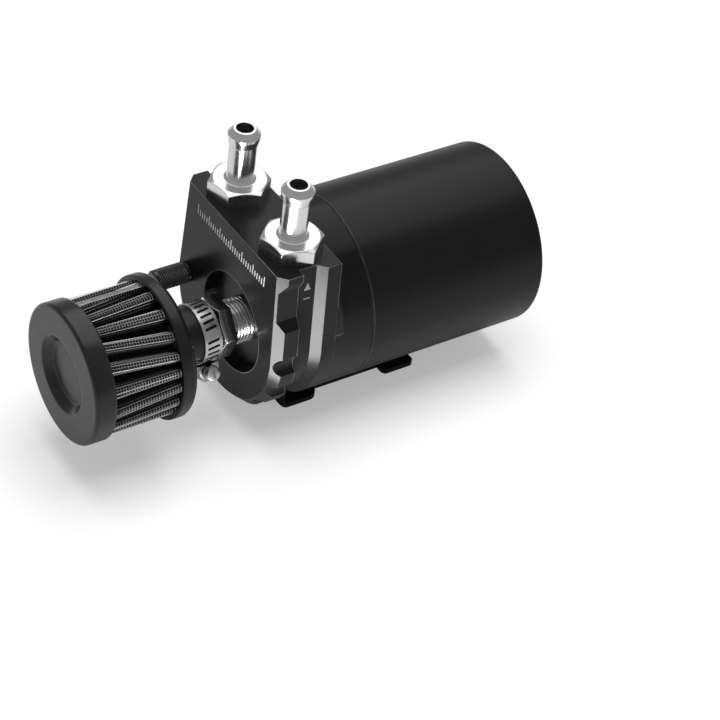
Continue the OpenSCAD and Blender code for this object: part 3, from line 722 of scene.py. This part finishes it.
def make_clamp_band():
    """Worm-drive band with its slanting slots. One place in their row stays plain."""
    low, high = BAND_MID_Z - BAND_W / 2, BAND_MID_Z + BAND_W / 2
    outer, edge = BAND_R + BAND_T, 0.1
    band = turned_profile("slotted_band", [
        (BAND_R, low + edge), (BAND_R + edge, low), (outer - edge, low), (outer, low + edge),
        (outer, high - edge), (outer - edge, high), (BAND_R + edge, high), (BAND_R, high - edge)], sides=144)
    slots = []
    for i in range(SLOT_COUNT):
        if i == PLAIN_SLOT:
            continue
        slot = add_block("slot", SLOT_SIZE, (0, 0, 0))
        apply_modifier(slot, "BEVEL", width=0.3 * MM, segments=2)
        slot.data.transform(Matrix.Rotation(SLOT_SLANT, 4, "X"))
        shift(slot, BAND_R, z=BAND_MID_Z)
        turn_about_z(slot, SLOT_START + SLOT_STEP * i)
        slots.append(slot)
    cutter = join(slots[0], slots[1:])
    apply_modifier(band, "BOOLEAN", object=cutter, operation="DIFFERENCE", solver="EXACT")
    bpy.data.objects.remove(cutter)
    shift(band, PORT_X)
    smooth(band, 30)
    return finish_piece(band, "head", CLAMP_STEEL, ("clamp_band",))


def make_worm_screw():
    """Worm screw of the clamp, made upright round the origin: thread, core and slotted head."""
    screw = threaded_rod("worm_screw_turned", radius=WORM_R, depth=0.35, pitch=1.0, length=10.5, core_r=1.5, sides=32)
    shift(screw, z=-5.6)
    core = add_cylinder("worm_core", 32, WORM_CORE_R, 10.2, (0, 0, -0.7))
    head = turned_profile("worm_head", [
        (0, WORM_HEAD_LOW), (WORM_HEAD_R - 0.15, WORM_HEAD_LOW), (WORM_HEAD_R, WORM_HEAD_LOW + 0.15),
        (WORM_HEAD_R, WORM_HEAD_TOP - 0.75), (WORM_HEAD_R - 0.35, WORM_HEAD_TOP - 0.2),
        (WORM_HEAD_R - 0.9, WORM_HEAD_TOP), (0, WORM_HEAD_TOP)], sides=48)
    slot = add_block("worm_slot", (8, 0.8, 2.4), (0, 0, WORM_HEAD_TOP))
    apply_modifier(head, "BOOLEAN", object=slot, operation="DIFFERENCE", solver="EXACT")
    bpy.data.objects.remove(slot)
    screw = join(screw, [core, head])
    screw.data.transform(worm_frame())
    smooth(screw, 30)
    return finish_piece(screw, "worm_screw", SCREW_STEEL, ("clamp_screw",))


def worm_frame():
    """Lays the upright screw along its place beside the band."""
    return (Matrix.Translation((PORT_X * MM, 0, BAND_MID_Z * MM)) @ Matrix.Rotation(HOUSING_TURN, 4, "Z")
            @ Matrix.Translation((WORM_SET * MM, 0, 0)) @ Matrix.Rotation(math.radians(-90), 4, "X"))


def make_face_scale():
    """Row of fine engraved ticks near the edge of the front face, every fifth one long."""
    ticks = []
    for i in range(TICK_COUNT):
        x = SCALE_LEN * (i / (TICK_COUNT - 1) - 0.5)
        length = LONG_TICK if i % 5 == 0 else SHORT_TICK
        ticks.append(add_block("tick", (TICK_W, length, FILL_T), (x, SCALE_Y - length / 2, FACE_Z + 0.01)))
    scale = join(ticks[0], ticks[1:])
    scale.name = "face_scale"
    return finish_piece(scale, "head", MARK_PAINT)


def make_port_marks():
    """Plain triangle and bar beside each hose port, in the groove of the head."""
    for name in ("inlet_mark", "outlet_mark"):
        mark = add_cylinder(name, 3, 1.6, FILL_T, (0, 0, 0))
        turn_about_z(mark, math.pi)
        mark.data.transform(Matrix.Scale(1.25, 4, (0, 1, 0)))
        mark = join(mark, [add_block("mark_bar", (2.6, 0.5, FILL_T), (0, 4.6, 0))])
        mark.data.transform(Matrix.Rotation(math.radians(90), 4, "Y"))
        shift(mark, GROOVE_X - 0.015, MARK_Y, MARK_Z)
        turn_about_z(mark, SIDE_TURN)
        if name == "inlet_mark":
            mark.data.transform(Matrix.Scale(-1, 4, (1, 0, 0)))
            mend_normals(mark)
        finish_piece(mark, "head", MARK_PAINT)


# Stage

def add_backdrop(name, corners, glow, tone):
    """A pale sheet that takes soft shadows and vanishes from behind.

    It glows for the camera only, and a tenth as much in what mirrors it.
    """
    deselect_all()
    bpy.ops.mesh.primitive_plane_add(size=1)
    sheet = bpy.context.object
    sheet.name = name
    for vertex, corner in zip(sheet.data.vertices, corners):
        vertex.co = Vector(corner) * MM
    sheet.data.update()
    material, tree, shader, _ = new_material(name + "_paper")
    shader.inputs["Base Color"].default_value = grey(tone)
    shader.inputs["Roughness"].default_value = 0.9
    shader.inputs["Specular IOR Level"].default_value = 0.0
    shader.inputs["Emission Color"].default_value = grey(1)
    rays = tree.nodes.new("ShaderNodeLightPath")
    seen = tree.nodes.new("ShaderNodeMath")
    seen.operation = "MAXIMUM"
    tree.links.new(rays.outputs["Is Camera Ray"], seen.inputs[0])
    mirrored = tree.nodes.new("ShaderNodeMath")
    mirrored.operation = "MULTIPLY"
    mirrored.inputs[1].default_value = 0.1
    tree.links.new(rays.outputs["Is Glossy Ray"], mirrored.inputs[0])
    tree.links.new(mirrored.outputs[0], seen.inputs[1])
    strength = tree.nodes.new("ShaderNodeMath")
    strength.operation = "MULTIPLY"
    strength.inputs[1].default_value = glow
    tree.links.new(seen.outputs[0], strength.inputs[0])
    tree.links.new(strength.outputs[0], shader.inputs["Emission Strength"])
    clear = tree.nodes.new("ShaderNodeBsdfTransparent")
    back = tree.nodes.new("ShaderNodeNewGeometry")
    mix = tree.nodes.new("ShaderNodeMixShader")
    tree.links.new(back.outputs["Backfacing"], mix.inputs["Fac"])
    tree.links.new(shader.outputs[0], mix.inputs[1])
    tree.links.new(clear.outputs[0], mix.inputs[2])
    tree.links.new(mix.outputs[0], tree.nodes["Material Output"].inputs["Surface"])
    sheet.data.materials.append(material)
    return sheet


def add_lamp(name, place, target, size, power):
    """A soft box aimed at a point, with its power in watts."""
    data = bpy.data.lights.new(name, "AREA")
    data.shape = "RECTANGLE"
    data.size, data.size_y = size[0] * MM, size[1] * MM
    data.energy = power
    lamp = bpy.data.objects.new(name, data)
    bpy.context.scene.collection.objects.link(lamp)
    lamp.location = Vector(place) * MM
    lamp.rotation_euler = (Vector(target) * MM - lamp.location).to_track_quat("-Z", "Y").to_euler()
    return lamp


def light_only(lamp, pieces, state="INCLUDE"):
    """Limit a lamp to some pieces, or keep it off them."""
    lit = bpy.data.collections.new("lit_by_" + lamp.name)
    for piece in pieces:
        lit.objects.link(piece)
    for member in lit.collection_objects:
        member.light_linking.link_state = state
    lamp.light_linking.receiver_collection = lit


def build_stage(adaptor, worm_screw, scale):
    """The can lies on its bracket, so the floor is the plane behind it.

    The floor has its own soft box. The edge card brings out the head's bevels and the bright metal, and is kept off
    the can and the filter.
    """
    reach = 2500
    floor = add_backdrop("floor", [(x, FLOOR_Y, z) for z in (-reach, reach) for x in (-reach, reach)],
                         glow=0.36, tone=0.76)
    world = bpy.data.worlds.new("studio")
    world.use_nodes = True
    bpy.context.scene.world = world
    tree = world.node_tree
    background = tree.nodes["Background"]
    background.inputs["Color"].default_value = grey(1)
    rays = tree.nodes.new("ShaderNodeLightPath")
    level = range_between(tree, rays.outputs["Is Camera Ray"], 0.3, 1.0, 0.0, 1.0)
    tree.links.new(level, background.inputs["Strength"])
    overhead_box = add_lamp("overhead_box", place=(230, -640, -40), target=(0, 0, 90), size=(900, 900), power=3.2)
    light_only(overhead_box, [floor], "EXCLUDE")
    floor_box = add_lamp("floor_box", place=(-60, -1500, 60), target=(-60, 0, 60), size=(1150, 1150), power=18)
    light_only(floor_box, [floor])
    edge_card = add_lamp("edge_card", place=(-76, FLOOR_Y - 0.5, 180), target=(-76, -100, 180), size=(56, 100),
                         power=0.5)
    edge_card.visible_camera = False
    light_only(edge_card, [nodes["head"], nodes["inlet_fitting"], nodes["outlet_fitting"], adaptor, worm_screw,
                           scale])


def add_camera():
    """The photograph's own view: the can lies on its bracket, so the camera is rolled."""
    place = (-550.0, -551.8, 492.2)
    right = Vector((-0.54026, -0.11655, -0.83339))
    view = Vector((0.59515, 0.64723, -0.47633)).normalized()
    right = (right - view * right.dot(view)).normalized()
    up = right.cross(view)
    data = bpy.data.cameras.new("photo_camera")
    data.sensor_width = 36
    data.lens = 120.6
    data.clip_start = 0.01
    camera = bpy.data.objects.new("photo_camera", data)
    bpy.context.scene.collection.objects.link(camera)
    turn = Matrix((right, up, -view)).transposed().to_4x4()
    camera.matrix_world = Matrix.Translation(Vector(place) * MM) @ turn
    bpy.context.scene.camera = camera


add_camera()
dress_nodes()
make_gauze()
make_knob()
adaptor = make_adaptor()
make_clamp_band()
worm_screw = make_worm_screw()
scale = make_face_scale()
make_port_marks()
build_stage(adaptor, worm_screw, scale)
bpy.context.scene.view_settings.view_transform = "Standard"
deselect_all()
